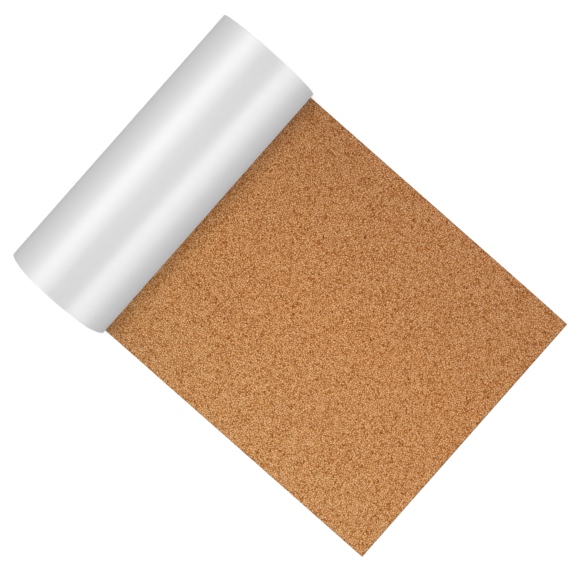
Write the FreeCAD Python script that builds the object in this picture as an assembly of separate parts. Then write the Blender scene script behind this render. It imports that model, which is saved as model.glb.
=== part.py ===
import FreeCAD
import Part

import math
import os

# A roll of thin cork underlayment with a white film on its back, lying on a level floor
# with a length of it unrolled.
#
# The sheet lies flat with its cork face up and the film on the floor. At the touch-down
# line under the roll it turns up and winds round, so that the film is on the outside of
# the roll and the cork faces inwards.
#
# +X runs along the unrolled length, away from the roll. +Y runs along the roll's axis.
# +Z is up. The origin is on the floor, in the middle of the whole object's footprint.
# All sizes are in millimetres.

# The sheet as it is sold
sheet_width = 500.0
sheet_length = 10000.0
cork_thickness = 2.0
film_thickness = 0.2

# How it is wound
bore_diameter = 76.0
winding_gap = 0.25  # air between one turn's cork and the next turn's film
tail_length = 637.0  # flat length, from the touch-down line to the cut end

# On the ends of the roll, each turn's cut edge is crowned and falls away to its joints
joint_depth = 0.8

# Sizes that follow from those
sheet_thickness = cork_thickness + film_thickness
pitch = sheet_thickness + winding_gap
bore_radius = bore_diameter / 2
wound_length = sheet_length - tail_length
outer_radius = math.sqrt(bore_radius**2 + wound_length * pitch / math.pi)

# Places along X
footprint_length = tail_length + outer_radius
touch_down_x = outer_radius - footprint_length / 2
tail_end_x = touch_down_x + tail_length

# The outer turn is a spiral drawn as a draughtsman would: each quarter turn is an arc, and
# its centre steps by a quarter of the pitch, so that the arcs meet without a kink.
centre_step = pitch / 4
roll_axis_x = touch_down_x - centre_step / 2
roll_axis_z = outer_radius + centre_step / 2
axis_direction = FreeCAD.Vector(0, 1, 0)

# The turns inside the outer one. The outer turn loses a pitch of radius on its way round,
# so its joint with them is one pitch inside its mean radius.
mean_outer_radius = outer_radius - 1.5 * centre_step
first_joint_radius = mean_outer_radius - pitch
inner_turn_count = int((first_joint_radius - bore_radius) / pitch)


def point(x, z):
    """A point of the cross-section, which is drawn at one edge of the sheet."""
    return FreeCAD.Vector(x, -sheet_width / 2, z)


def spiral_arcs(inset):
    """The outer turn's quarter arcs from touch-down over the top to the nip, moved inwards by inset."""
    centres = [
        (touch_down_x, outer_radius),
        (touch_down_x - centre_step, outer_radius),
        (touch_down_x - centre_step, outer_radius + centre_step),
        (touch_down_x, outer_radius + centre_step),
    ]
    arcs = []
    for quarter, (centre_x, centre_z) in enumerate(centres):
        radius = outer_radius - quarter * centre_step - inset
        on_arc = []
        for degrees_past_bottom in (90 * quarter, 90 * quarter + 45, 90 * quarter + 90):
            angle = math.radians(-90 - degrees_past_bottom)
            x = centre_x + radius * math.cos(angle)
            z = centre_z + radius * math.sin(angle)
            on_arc.append(point(x, z))
        arcs.append(Part.Arc(*on_arc).toShape())
    return arcs


def line(start, end):
    return Part.LineSegment(start, end).toShape()


def across_the_width(edges):
    """The solid that a closed cross-section makes over the whole width of the sheet."""
    face = Part.Face(Part.Wire(edges))
    return face.extrude(FreeCAD.Vector(0, sheet_width, 0))


def flat_length_and_outer_turn():
    """The cork's flat length and the turn that rises from it, with a hollow for the turns inside."""
    under_tail = point(touch_down_x, film_thickness)
    nip_top = point(touch_down_x, pitch + film_thickness)
    nip_bottom = point(touch_down_x, sheet_thickness)
    end_top = point(tail_end_x, sheet_thickness)
    end_bottom = point(tail_end_x, film_thickness)
    outline = [line(end_bottom, under_tail)]
    outline += spiral_arcs(film_thickness)
    outline += [
        line(nip_top, nip_bottom),
        line(nip_bottom, end_top),
        line(end_top, end_bottom),
    ]
    hollow_start = point(roll_axis_x, roll_axis_z)
    hollow = Part.makeCylinder(first_joint_radius, sheet_width, hollow_start, axis_direction)
    return across_the_width(outline).cut(hollow)


def inner_turns():
    """The turns inside the outer one, as one turned body. Its ends are ridged, one ridge to a turn."""
    half_width = sheet_width / 2
    ridges = []
    for turn in range(inner_turn_count):
        joint_radius = first_joint_radius - turn * pitch
        ridges.append((joint_radius, half_width - joint_depth))
        ridges.append((joint_radius - pitch / 2, half_width))
    one_end = ridges + [(bore_radius, half_width)]
    other_end = [(radius, -y) for radius, y in reversed(one_end)]
    corners = [
        FreeCAD.Vector(roll_axis_x + radius, y, roll_axis_z) for radius, y in one_end + other_end
    ]
    profile = Part.Face(Part.makePolygon(corners + corners[:1]))
    return profile.revolve(point(roll_axis_x, roll_axis_z), axis_direction, 360)


def cork_sheet():
    """The whole sheet of cork. The outer turn closes on the turns inside it, so it is one solid."""
    return flat_length_and_outer_turn().fuse(inner_turns())


def backing_film():
    """The film: under the tail, and round the outside of the outer turn as far as the nip."""
    end_bottom = point(tail_end_x, 0)
    touch_down = point(touch_down_x, 0)
    nip_bottom = point(touch_down_x, pitch)
    nip_top = point(touch_down_x, pitch + film_thickness)
    under_tail = point(touch_down_x, film_thickness)
    end_top = point(tail_end_x, film_thickness)
    outline = [line(end_bottom, touch_down)]
    outline += spiral_arcs(0)
    outline += [line(nip_bottom, nip_top)]
    outline += reversed(spiral_arcs(film_thickness))
    outline += [line(under_tail, end_top), line(end_top, end_bottom)]
    return across_the_width(outline)


os.makedirs("parts", exist_ok=True)
for name, shape in {"cork_sheet": cork_sheet(), "backing_film": backing_film()}.items():
    solids = shape.Solids
    print(name, len(solids), "solid, valid", shape.isValid(), "volume", round(shape.Volume), "mm3")
    solids[0].exportStep(f"parts/{name}.step")
print("roll diameter", round(2 * outer_radius, 1), "pitch", round(pitch, 2))
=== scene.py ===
# %% [markdown]
# # A roll of cork underlayment
#
# Cork underlayment is a thin mat of pressed cork grains with a plastic film on its back. It
# is laid under a floor to deaden steps. Here most of the mat is still wound up, film side
# out, and a length of it lies flat with the cork facing up.
#
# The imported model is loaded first. It fixes where everything is: +X runs along the flat
# length away from the roll, +Y along the roll, +Z up, and the floor is at zero.

import math

import bmesh
import bpy
from mathutils import Matrix, Vector, noise


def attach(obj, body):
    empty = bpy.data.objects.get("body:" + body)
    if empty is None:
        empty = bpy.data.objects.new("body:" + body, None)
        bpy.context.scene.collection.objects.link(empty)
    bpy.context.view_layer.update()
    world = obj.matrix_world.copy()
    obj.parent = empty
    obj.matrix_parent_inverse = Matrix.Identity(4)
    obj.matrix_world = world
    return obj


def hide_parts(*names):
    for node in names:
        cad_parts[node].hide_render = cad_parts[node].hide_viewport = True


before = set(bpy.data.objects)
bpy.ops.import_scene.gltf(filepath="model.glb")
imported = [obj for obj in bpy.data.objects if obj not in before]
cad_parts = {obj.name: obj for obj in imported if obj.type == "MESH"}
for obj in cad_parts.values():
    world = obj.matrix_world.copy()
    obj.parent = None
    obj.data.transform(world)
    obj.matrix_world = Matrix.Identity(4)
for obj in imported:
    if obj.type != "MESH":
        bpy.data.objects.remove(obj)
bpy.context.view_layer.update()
print("nodes:", sorted(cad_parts))

# %% [markdown]
# ## The sizes
#
# A real mat has a width, a length and two thicknesses, and everything about the roll follows
# from them and from the bar that it was wound on. The same values drive the solid model, so
# they are written out here once, in metres, and the rest is worked out.
#
# Each turn of the winding is a pitch further out than the one inside it. A pitch is the mat's
# thickness and a little air.

# %% Sizes of the mat and the winding
MM = 0.001
mat_width = 500 * MM
mat_length = 10000 * MM
cork_thickness = 2.0 * MM
film_thickness = 0.2 * MM
winding_gap = 0.25 * MM
bore_radius = 38 * MM
flat_length = 637 * MM

half_width = mat_width / 2
pitch = cork_thickness + film_thickness + winding_gap
roll_radius = math.sqrt(bore_radius**2 + (mat_length - flat_length) * pitch / math.pi)
touch_down = roll_radius / 2 - flat_length / 2
cut_end = touch_down + flat_length
print("roll", round(2 * roll_radius, 4), "m thick")
print("flat length from", round(touch_down, 4), "to", round(cut_end, 4))

# %% [markdown]
# ## Winding the mat
#
# Cork and film are bonded all over, so both follow one surface, the bond between them. It is
# made first, as an open surface with no thickness. The cork is that surface thickened to the
# inside of the winding, and the film is the same surface thickened to the outside.
#
# A spiral could be plotted point by point. It is easier to wind it, as a draughtsman does with
# a compass: a quarter turn about one corner of a small square, the next quarter about the next
# corner, and so on. The square's side is a quarter of the pitch, so each full turn ends one
# pitch further in. The spin operator makes each quarter from the last edges of the one before,
# so all that it winds stays one connected surface.

# %% Wind by quarter turns
bond_radius = roll_radius - film_thickness
square = pitch / 4
square_corners = [
    Vector((touch_down, 0, roll_radius)),
    Vector((touch_down - square, 0, roll_radius)),
    Vector((touch_down - square, 0, roll_radius + square)),
    Vector((touch_down, 0, roll_radius + square)),
]
quarter_count = int((bond_radius - cork_thickness - bore_radius) / square) + 1


def wind(bm, edges, first, last, steps):
    """Winds a row of edges on, from quarter number first up to last, and gives the new last row."""
    for quarter in range(first, last):
        ends = {v for e in edges for v in e.verts}
        made = bmesh.ops.spin(
            bm,
            geom=list(ends) + list(edges),
            cent=square_corners[quarter % 4],
            axis=(0, 1, 0),
            angle=math.radians(90),
            steps=steps,
            use_merge=False,
            use_duplicate=False,
        )
        edges = [g for g in made["geom_last"] if isinstance(g, bmesh.types.BMEdge)]
    return edges


print(quarter_count, "quarter turns, each", round(square / MM, 3), "mm nearer the middle")

# %% [markdown]
# ## Three stretches of the mat
#
# The mat is made in three stretches: the length that lies flat, the outer turn, and all the
# turns inside it. Each gets a mesh of its own, because a baked texture has room for only so
# many points, and the cork's grains are small.
#
# Nobody can see between the turns inside. So the mat has a narrow border along both of its
# edges, and the hidden turns keep only that border. Their middle is left open, like a window.
# The innermost turn shows in the bore and stays whole.
#
# A row of vertices across the mat has four places: the two edges and the two inner lines of
# the borders. The flat length is cut across many times, because its edges are given crumbs
# later and they need vertices to move.

# %% A row across the mat
border = 6 * MM
cuts_along_flat = 199
outer_steps = 32
inner_steps = 18
row_places = [-half_width, border - half_width, half_width - border, half_width]


def start_row(bm, x, z):
    """A row of edges across the mat at x and height z."""
    verts = [bm.verts.new((x, y, z)) for y in row_places]
    return [bm.edges.new(pair) for pair in zip(verts, verts[1:])]


def flat_length_surface():
    """The open bond surface of the length that lies flat."""
    bm = bmesh.new()
    row = start_row(bm, touch_down, film_thickness)
    pulled = bmesh.ops.extrude_edge_only(bm, edges=row)["geom"]
    moved = [g for g in pulled if isinstance(g, bmesh.types.BMVert)]
    bmesh.ops.translate(bm, verts=moved, vec=(flat_length, 0, 0))
    long_edges = [e for e in bm.edges if e.calc_length() > mat_width * 1.01]
    bmesh.ops.subdivide_edges(bm, edges=long_edges, cuts=cuts_along_flat, use_grid_fill=True)
    return bm


def outer_turn_surface():
    """The open bond surface of the outer turn."""
    bm = bmesh.new()
    wind(bm, start_row(bm, touch_down, film_thickness), 0, 4, outer_steps)
    return bm


def inner_turns_surface():
    """The open bond surface of the turns inside, whole only in the innermost turn."""
    bm = bmesh.new()
    row = start_row(bm, touch_down, film_thickness + pitch)
    middle = max(row, key=lambda e: e.calc_length())
    borders = [e for e in row if e is not middle]
    bmesh.ops.delete(bm, geom=[middle], context="EDGES")
    whole_from = quarter_count - 5
    borders = wind(bm, borders, 4, whole_from, inner_steps)
    inner_ends = [v for e in borders for v in e.verts if abs(v.co.y) < half_width - border / 2]
    wind(bm, borders + [bm.edges.new(inner_ends)], whole_from, quarter_count, inner_steps)
    return bm


for maker in (flat_length_surface, outer_turn_surface, inner_turns_surface):
    bm = maker()
    print(maker.__name__, len(bm.faces), "faces")
    bm.free()

# %% [markdown]
# ## Hand-made edges
#
# A knife cut through cork is never a perfect line: grains break out of it, and a mat that is
# wound by hand wanders a little from turn to turn. At the left end of the roll the turns are
# also drawn in by some millimetres where they turn down, as the photograph shows, and the
# right corner of the cut end is a little rounded. All of that moves the edge vertices along
# the roll and nothing else, so one function of a point gives how far its edge is drawn in.
#
# The film is cut with the cork but doesn't crumble, so it keeps the wander alone. It then
# stands a hair proud of the cork, as it does on the real mat.

# %% How far an edge is drawn in
roll_axis = (square_corners[0] + square_corners[2]) / 2
corner_depth = 0.8 * MM
corner_length = 100 * MM
turn_drift = 0.35 * MM
drawn_in_far = 6 * MM
drawn_in_near = 5 * MM
crumb_depth = 0.14 * MM


def wander(point):
    """The mat's edge wanders from turn to turn, and the left end is drawn in at the sides."""
    across = point.x - roll_axis.x
    radius = math.hypot(across, point.z - roll_axis.z)
    if point.x > touch_down and point.z < 2 * pitch:
        corner = max(0.0, (point.x - cut_end) / corner_length + 1)
        return corner_depth * corner**2 if point.y > 0 else 0.0
    turn = round((roll_radius - radius) / pitch)
    drift = turn_drift * (1 + noise.noise(Vector((point.x * 9, turn * 3.7, point.z * 9))))
    drift *= min(turn, 3) / 3
    if point.y > 0:
        return drift
    lean = across / roll_radius
    drawn_in = drawn_in_far * max(-lean, 0) ** 3 + drawn_in_near * max(lean, 0) ** 9
    return drift + drawn_in


def crumble(point):
    """Grains broken out of the cork's cut edge."""
    grains = noise.noise(point * 420) + 0.6 * noise.noise(point * 900)
    return crumb_depth * (1 + max(-1.0, min(1.0, grains)))


def draw_in(bm, depth_of):
    """Moves the vertices of both long edges inwards."""
    for v in bm.verts:
        if abs(v.co.y) > half_width - border / 2:
            v.co.y -= math.copysign(depth_of(v.co), v.co.y)


far_side = Vector((touch_down - roll_radius, -1, roll_radius))
print("drawn in at the far side of the left end:", round(wander(far_side) / MM, 2), "mm")

# %% [markdown]
# ## From surface to solid
#
# Solidify gives a surface a thickness, and the sign of the thickness picks the side. The faces
# must all look the same way first. On the flat length, and at the bottom of every turn, the
# cork is above the bond and the film below it. Each layer is left one percent thinner than it
# is, so that the dressed roll stays inside the solid model.

# %% Thicken and finish
slack = 0.99


def thicken(bm, thickness, depth_of, name):
    """Makes a closed layer out of a bond surface, positive on the cork's side."""
    bmesh.ops.recalc_face_normals(bm, faces=bm.faces)
    lowest = min(bm.faces, key=lambda f: f.calc_center_median().z)
    if lowest.normal.z < 0:
        bmesh.ops.reverse_faces(bm, faces=bm.faces)
    bmesh.ops.solidify(bm, geom=bm.faces[:], thickness=-thickness * slack)
    bmesh.ops.recalc_face_normals(bm, faces=bm.faces)
    draw_in(bm, depth_of)
    mesh = bpy.data.meshes.new(name)
    bm.to_mesh(mesh)
    bm.free()
    mesh.shade_smooth()
    mesh.set_sharp_from_angle(angle=math.radians(35))
    piece = bpy.data.objects.new(name, mesh)
    bpy.context.scene.collection.objects.link(piece)
    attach(piece, "root")
    lows = [round(min(v.co[i] for v in mesh.vertices), 4) for i in range(3)]
    highs = [round(max(v.co[i] for v in mesh.vertices), 4) for i in range(3)]
    print(name, len(mesh.polygons), "faces, from", lows, "to", highs)
    return piece


def ragged(point):
    """How far the cork's edge is drawn in. The film's edge has the wander alone."""
    return wander(point) + crumble(point)


surfaces = {
    "flat_length": flat_length_surface,
    "outer_turn": outer_turn_surface,
    "inner_turns": inner_turns_surface,
}
cork_pieces = {}
film_pieces = {}
for part, surface in surfaces.items():
    cork_pieces[part] = thicken(surface(), cork_thickness, ragged, f"cork_{part}")
    film_pieces[part] = thicken(surface(), -film_thickness, wander, f"film_{part}")
    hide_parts("cork_sheet")
    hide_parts("backing_film")

# %% [markdown]
# ## Materials
#
# Both finishes are made of nodes. A small helper keeps the code readable: it adds a node, sets
# its sockets by name and gives it back, and a socket of another node may be passed instead of
# a number. Colours are written as a paint chart would, from 0 to 255, and turned into the
# linear values that Blender wants.

# %% Node helpers
def paint(red, green, blue):
    """A colour chart's 0 to 255 values as Blender's linear colour."""
    shares = [value / 255 for value in (red, green, blue)]
    linear = [s / 12.92 if s <= 0.04045 else ((s + 0.055) / 1.055) ** 2.4 for s in shares]
    return (*linear, 1.0)


def add_node(tree, kind, settings=None, **sockets):
    """Adds a node. Settings are its menu choices and sockets its inputs, spaces written as _."""
    node = tree.nodes.new(kind)
    for key, value in (settings or {}).items():
        setattr(node, key, value)
    for key, value in sockets.items():
        number = key.removeprefix("input_")
        which = int(number) if number.isdigit() else key.replace("_", " ")
        socket = node.inputs[which]
        if isinstance(value, bpy.types.NodeSocket):
            tree.links.new(value, socket)
        else:
            socket.default_value = value
    return node


def math_node(tree, operation, first, second):
    """The result of one sum on two values."""
    settings = {"operation": operation}
    return add_node(tree, "ShaderNodeMath", settings, input_0=first, input_1=second).outputs[0]


def new_finish(name):
    """A material with its node tree, its shader and the object coordinates."""
    material = bpy.data.materials.new(name)
    material.use_nodes = True
    tree = material.node_tree
    shader = tree.nodes["Principled BSDF"]
    place = tree.nodes.new("ShaderNodeTexCoord").outputs["Object"]
    return material, tree, shader, place


# %% [markdown]
# ## Pressed cork
#
# Underlayment is made of cork granules, pressed with a binder and sliced thin. Its surface
# shows each granule cut through somewhere: mostly tan, with dark seams of binder between the
# granules, fine crumbs all over, and brown specks where bark came along. A painted texture
# could give that. Cells of Voronoi textures do it without a picture, and they are solid, so
# the cut edges and the top show the same grains.
#
# A noise texture stirs the cells first, so that they don't look like neat polygons. Their
# scales are numbers of cells to the metre, so a granule is about 3 mm and a crumb 0.6 mm.

# %% The cork's cells
cork_finish, tree, shader, place = new_finish("pressed_cork")
granules_per_metre = 300.0
bark_per_metre = 800.0
crumbs_per_metre = 1600.0
clouds_per_metre = 55.0
stirs_per_metre = 520.0
stir_reach = 1.4 * MM


def vector_node(operation, *values):
    """The result of one sum on vectors."""
    inputs = {f"input_{number}": value for number, value in enumerate(values)}
    return add_node(tree, "ShaderNodeVectorMath", {"operation": operation}, **inputs).outputs[0]


def cells(per_metre, feature="F1"):
    """Voronoi cells, so many to the metre, at the stirred place."""
    settings = {"feature": feature}
    return add_node(tree, "ShaderNodeTexVoronoi", settings, Vector=stirred, Scale=per_metre)


stir = add_node(tree, "ShaderNodeTexNoise", Vector=place, Scale=stirs_per_metre, Detail=1.0)
centred = vector_node("SUBTRACT", stir.outputs["Color"], (0.5, 0.5, 0.5))
stirred = vector_node("MULTIPLY_ADD", centred, (stir_reach, stir_reach, stir_reach), place)
granules = cells(granules_per_metre)
seams = cells(granules_per_metre, "DISTANCE_TO_EDGE")
bark = cells(bark_per_metre)
crumbs = cells(crumbs_per_metre)
clouds = add_node(tree, "ShaderNodeTexNoise", Vector=place, Scale=clouds_per_metre, Detail=2.0)
print("cork cells:", len(tree.nodes), "nodes")

# %% [markdown]
# ### From cells to colours
#
# One tone is added up from all the cells: a little from each granule, more from each crumb,
# less near a seam, and much less in one bark cell out of fifteen. A colour ramp then turns the
# tone into cork colours, which get browner and purer as they get darker.

# %% Tone and colours of the cork
granule_share = 0.07
crumb_share = 0.30
cloud_share = 0.05
bark_darkness = -0.36


def random_of(cell):
    """A random number for each cell, from its colour."""
    return add_node(tree, "ShaderNodeSeparateColor", Color=cell.outputs["Color"]).outputs[0]


def map_range(value, start, end, low, high):
    """Low up to the value start, high from the value end on, and a straight slope between."""
    node = add_node(tree, "ShaderNodeMapRange", Value=value, From_Min=start, From_Max=end)
    node.inputs["To Min"].default_value, node.inputs["To Max"].default_value = low, high
    return node.outputs[0]


tone = math_node(tree, "MULTIPLY", random_of(granules), granule_share)
for part_of_tone in (
    math_node(tree, "MULTIPLY", random_of(crumbs), crumb_share),
    math_node(tree, "MULTIPLY", clouds.outputs[0], cloud_share),
    map_range(seams.outputs["Distance"], 0.0, 0.22, 0.06, 0.425),
    map_range(random_of(bark), 0.92, 0.95, 0.0, bark_darkness),
):
    tone = math_node(tree, "ADD", tone, part_of_tone)
ramp = add_node(tree, "ShaderNodeValToRGB", Fac=tone)
stops = [
    (0.08, paint(78, 8, 0)),
    (0.27, paint(156, 76, 6)),
    (0.46, paint(215, 151, 87)),
    (0.65, paint(242, 190, 133)),
    (0.82, paint(252, 226, 185)),
]
ramp.color_ramp.elements[0].position, ramp.color_ramp.elements[0].color = stops[0]
ramp.color_ramp.elements[1].position, ramp.color_ramp.elements[1].color = stops[-1]
for position, colour in stops[1:-1]:
    ramp.color_ramp.elements.new(position).color = colour
print("tone to colour:", [position for position, colour in stops])

# %% [markdown]
# ### Two changes along the mat
#
# The mat's colour isn't the same all over. From its left edge to its right edge the cork gets
# slightly darker and redder. Along the three cut edges of the flat length it is darker too,
# for a few millimetres: this is painted shade, where the crumbled edge turns away from the light,
# and partly grains crushed by the knife.
# Both are multiplied onto the cork's colour.

# %% Drift, and painted shade on the crushed edges
# Over this band the cut edges get painted shade, with some crushed grains as well.
crushed_and_shaded_from = 2.8 * MM
crushed_and_shaded_to = 0.8 * MM
along, across, up = add_node(tree, "ShaderNodeSeparateXYZ", Vector=place).outputs[:3]
edge_to_edge = map_range(across, -half_width, half_width, 0.0, 1.0)
drift = add_node(tree, "ShaderNodeValToRGB", Fac=edge_to_edge)
drift.color_ramp.elements[0].color = (1.0, 1.0, 1.0, 1)
drift.color_ramp.elements[1].color = (0.83, 0.77, 0.79, 1)
drift.color_ramp.elements.new(0.5).color = (0.95, 0.89, 0.85, 1)
off_centre = math_node(tree, "ABSOLUTE", across, 0.0)
long_edge = map_range(off_centre, half_width - crushed_and_shaded_from, half_width - crushed_and_shaded_to, 0.0, 1.0)
end_edge = map_range(along, cut_end - crushed_and_shaded_from, cut_end - crushed_and_shaded_to, 0.0, 1.0)
flat_only = map_range(up, 3 * MM, 4 * MM, 1.0, 0.0)
crushed_and_shaded = math_node(tree, "MAXIMUM", math_node(tree, "MULTIPLY", long_edge, 0.5), end_edge)
crushed_and_shaded = math_node(tree, "MULTIPLY", crushed_and_shaded, flat_only)


def multiply_colours(first, second, factor):
    """The first colour times the second, as far as the factor says."""
    settings = {"data_type": "RGBA", "blend_type": "MULTIPLY"}
    node = add_node(tree, "ShaderNodeMix", settings, Factor=factor)
    tree.links.new(first, node.inputs["A"])
    if isinstance(second, bpy.types.NodeSocket):
        tree.links.new(second, node.inputs["B"])
    else:
        node.inputs["B"].default_value = second
    return node.outputs["Result"]


colour = multiply_colours(ramp.outputs["Color"], drift.outputs["Color"], 1.0)
# This colour paints shade along the cut edges, partly crushed grains.
colour = multiply_colours(colour, (0.70, 0.76, 0.80, 1), crushed_and_shaded)
tree.links.new(colour, shader.inputs["Base Color"])
# The crushed edges carry painted shade as well.
print("drift and crushed edges added, now", len(tree.nodes), "nodes")

# %% [markdown]
# ### Relief
#
# Cork is dull and slightly rough to the touch. The height of its surface follows the cells and
# the tone, so that the pale crumbs stand up and the dark ones lie low.

# %% Relief and dullness of the cork
height = math_node(tree, "ADD", granules.outputs["Distance"], tone)
relief = add_node(tree, "ShaderNodeBump", Strength=0.35, Distance=0.3 * MM, Height=height)
tree.links.new(relief.outputs["Normal"], shader.inputs["Normal"])
shader.inputs["Roughness"].default_value = 0.92
shader.inputs["Specular IOR Level"].default_value = 0.1
for piece in cork_pieces.values():
    piece.data.materials.append(cork_finish)
print("pressed cork:", len(tree.nodes), "nodes")

# %% [markdown]
# ## White film
#
# The film is polyethylene, white right through, with a satin surface: it isn't a mirror, but
# long soft lights show on it as long soft bands. A plain plastic in Blender mirrors little
# where it is looked at face on, and much at its rim. This film's bands are as strong on top of
# the roll as at its side, so a share of the shader is metal, which mirrors evenly, and its
# roughness makes the bands soft. The grains under the film print through it very faintly,
# which a weak bump gives.

# %% The film's finish
film_finish, tree, shader, place = new_finish("white_film")
prints = add_node(tree, "ShaderNodeTexNoise", Vector=place, Scale=260.0, Detail=2.0)
relief = add_node(
    tree, "ShaderNodeBump", Strength=0.04, Distance=0.2 * MM, Height=prints.outputs[0]
)
tree.links.new(relief.outputs["Normal"], shader.inputs["Normal"])
tint = add_node(tree, "ShaderNodeMix", {"data_type": "RGBA"}, Factor=prints.outputs[0])
tint.inputs["A"].default_value = paint(248, 248, 248)
tint.inputs["B"].default_value = paint(250, 250, 250)
tree.links.new(tint.outputs["Result"], shader.inputs["Base Color"])
shader.inputs["Metallic"].default_value = 0.35
shader.inputs["Roughness"].default_value = 0.34
shader.inputs["Specular IOR Level"].default_value = 0.0
for piece in film_pieces.values():
    piece.data.materials.append(film_finish)
print("white film:", len(tree.nodes), "nodes")

# %% [markdown]
# ## The floor
#
# The photograph looks straight down on the mat, and the ground is white all over with no
# shadow on it, as on a light table. So the floor glows by itself. A real light table also
# lights the lower half of the roll. That light is set apart here, in a second disc that the
# camera can't see, so that it can be dimmed while the seen one stays white.

# %% Floor
def floor_disc(name, depth, glow, albedo):
    """A round floor, its top at the given depth, with its own glow and its own greyness."""
    mesh = bpy.data.meshes.new(name)
    bm = bmesh.new()
    bmesh.ops.create_circle(bm, cap_ends=True, segments=64, radius=8.0)
    bmesh.ops.translate(bm, verts=bm.verts, vec=(0, 0, -depth))
    bm.to_mesh(mesh)
    bm.free()
    disc = bpy.data.objects.new(name, mesh)
    bpy.context.scene.collection.objects.link(disc)
    finish, _, shader, _ = new_finish(name)
    shader.inputs["Base Color"].default_value = (albedo, albedo, albedo, 1)
    shader.inputs["Roughness"].default_value = 1.0
    shader.inputs["Specular IOR Level"].default_value = 0.0
    shader.inputs["Emission Color"].default_value = (1, 1, 1, 1)
    shader.inputs["Emission Strength"].default_value = glow
    mesh.materials.append(finish)
    return disc


seen_floor = floor_disc("white_floor", 0.5 * MM, 0.72, 0.4)
seen_floor.visible_diffuse = False
seen_floor.visible_glossy = False
seen_floor.visible_shadow = False
lower_glow = floor_disc("lower_glow", 1.0 * MM, 0.46, 0.0)
lower_glow.visible_camera = False
print("floor", round(seen_floor.dimensions.x, 1), "m wide")

# %% [markdown]
# ## Two sets of lights
#
# The film shows two things at once: how much light falls on it, and soft mirror images of the
# lights, which are its two long bands. The cork shows only the first. A photographer parts the
# two with polarising filters. In Blender each light has switches for it.
#
# The band lights lie along the roll and are only mirrored in the film. The soft lights only
# shade: one small one overhead casts the roll's shadow on the cork, and larger ones soften it.
# Two low ones light the roll's ends and nothing else, which Blender calls light linking, so
# that the winding can be seen from the sides and the shadow by the roll stays as dark as it is.
#
# The flat length would throw its brown onto the film above it, which the photograph doesn't
# show, so it is left out of such rays. The air around is white for the camera only, as a
# backdrop, and lights nothing.

# %% Lights
studio_centre = Vector((touch_down, 0, roll_radius))
band_length = 9.0


def soft_light(name, direction, size, radiance, distance=4.0):
    """A rectangular light that looks at the roll, as bright as its radiance says."""
    light = bpy.data.lights.new(name, "AREA")
    light.shape = "RECTANGLE"
    light.size, light.size_y = size
    light.energy = radiance * math.pi * size[0] * size[1]
    holder = bpy.data.objects.new(name, light)
    bpy.context.scene.collection.objects.link(holder)
    away = Vector(direction).normalized()
    across = Vector((0, 1, 0)).cross(away) if abs(away.y) < 0.1 else Vector((1, 0, 0))
    across.normalize()
    turned = Matrix((across, away.cross(across), away)).transposed()
    holder.matrix_world = Matrix.Translation(studio_centre + away * distance) @ turned.to_4x4()
    holder.visible_camera = False
    holder.visible_glossy = False
    return holder


def band_light(name, tilt, half_spread, radiance, distance=4.0):
    """A long light along the roll, tilted from straight up towards +X, half_spread to each side."""
    angle = math.radians(tilt)
    direction = (math.sin(angle), 0, math.cos(angle))
    width = 2 * distance * math.tan(math.radians(half_spread))
    holder = soft_light(name, direction, (width, band_length), radiance, distance)
    holder.visible_glossy = True
    holder.visible_diffuse = False


band_light("band_low", -80.5, 8.5, 0.55)
band_light("band_far", -42, 30, 0.50)
band_light("band_far_core", -41, 13, 0.42)
band_light("band_near", 65.5, 26, 0.86)
soft_light("shade_overhead", (-0.079, 0, 1), (1.14, 0.6), 22.8)
soft_light("shade_ceiling", (0, 0, 1), (5.0, 1.0), 3.95)
soft_light("shade_near", (0.75, 0, 0.66), (2.4, 1.0), 5.5)
soft_light("shade_far", (-0.75, 0, 0.66), (2.4, 1.0), 5.2)
wound_ends = bpy.data.collections.new("wound_ends")
for piece in (cork_pieces["outer_turn"], cork_pieces["inner_turns"], film_pieces["inner_turns"]):
    wound_ends.objects.link(piece)
for side, sign in (("left", -1), ("right", 1)):
    low_light = soft_light(f"shade_{side}", (0.05, sign, 0.15), (2.4, 1.2), 4.3)
    low_light.light_linking.receiver_collection = wound_ends
for layer in (cork_pieces["flat_length"], film_pieces["flat_length"]):
    layer.visible_diffuse = False
    layer.visible_glossy = False

world = bpy.data.worlds.new("studio_air")
bpy.context.scene.world = world
world.use_nodes = True
world.node_tree.nodes["Background"].inputs["Color"].default_value = (1, 1, 1, 1)
world.node_tree.nodes["Background"].inputs["Strength"].default_value = 0.74
world.cycles_visibility.diffuse = False
world.cycles_visibility.glossy = False
bpy.context.scene.view_settings.view_transform = "Standard"

# %% [markdown]
# ## The camera
#
# It hangs above the mat and looks straight down, turned so that the roll lies across the upper
# left of the picture. A camera's shift frames the picture off its axis without tilting it.

# %% Camera
picture_width = 580
focal_in_pixels = 1835
mat_width_in_pixels = 310.93
eye_past_touch_down_in_pixels = 166.2
eye_to_the_right_in_pixels = 29.3
metres_per_pixel = mat_width / mat_width_in_pixels
camera = bpy.data.objects.new("camera", bpy.data.cameras.new("camera"))
bpy.context.scene.collection.objects.link(camera)
bpy.context.scene.camera = camera
camera.data.sensor_width = 36
camera.data.lens = 36 * focal_in_pixels / picture_width
camera.data.shift_x, camera.data.shift_y = -0.0376, -0.0407
picture_right = Vector((0.7500, 0.6614, 0))
picture_up = Vector((-0.6614, 0.7500, 0))
mat_top = film_thickness + cork_thickness
eye = Vector(
    (
        touch_down + eye_past_touch_down_in_pixels * metres_per_pixel,
        eye_to_the_right_in_pixels * metres_per_pixel,
        mat_top + focal_in_pixels * metres_per_pixel,
    )
)
to_the_eye = Vector((0, 0, 1))
picture_axes = (picture_right.normalized(), picture_up.normalized(), to_the_eye)
looking = Matrix(picture_axes).transposed()
camera.matrix_world = Matrix.Translation(eye) @ looking.to_4x4()
camera.data.clip_end = 50
print("camera", [round(c, 3) for c in eye], "lens", round(camera.data.lens, 1), "mm")
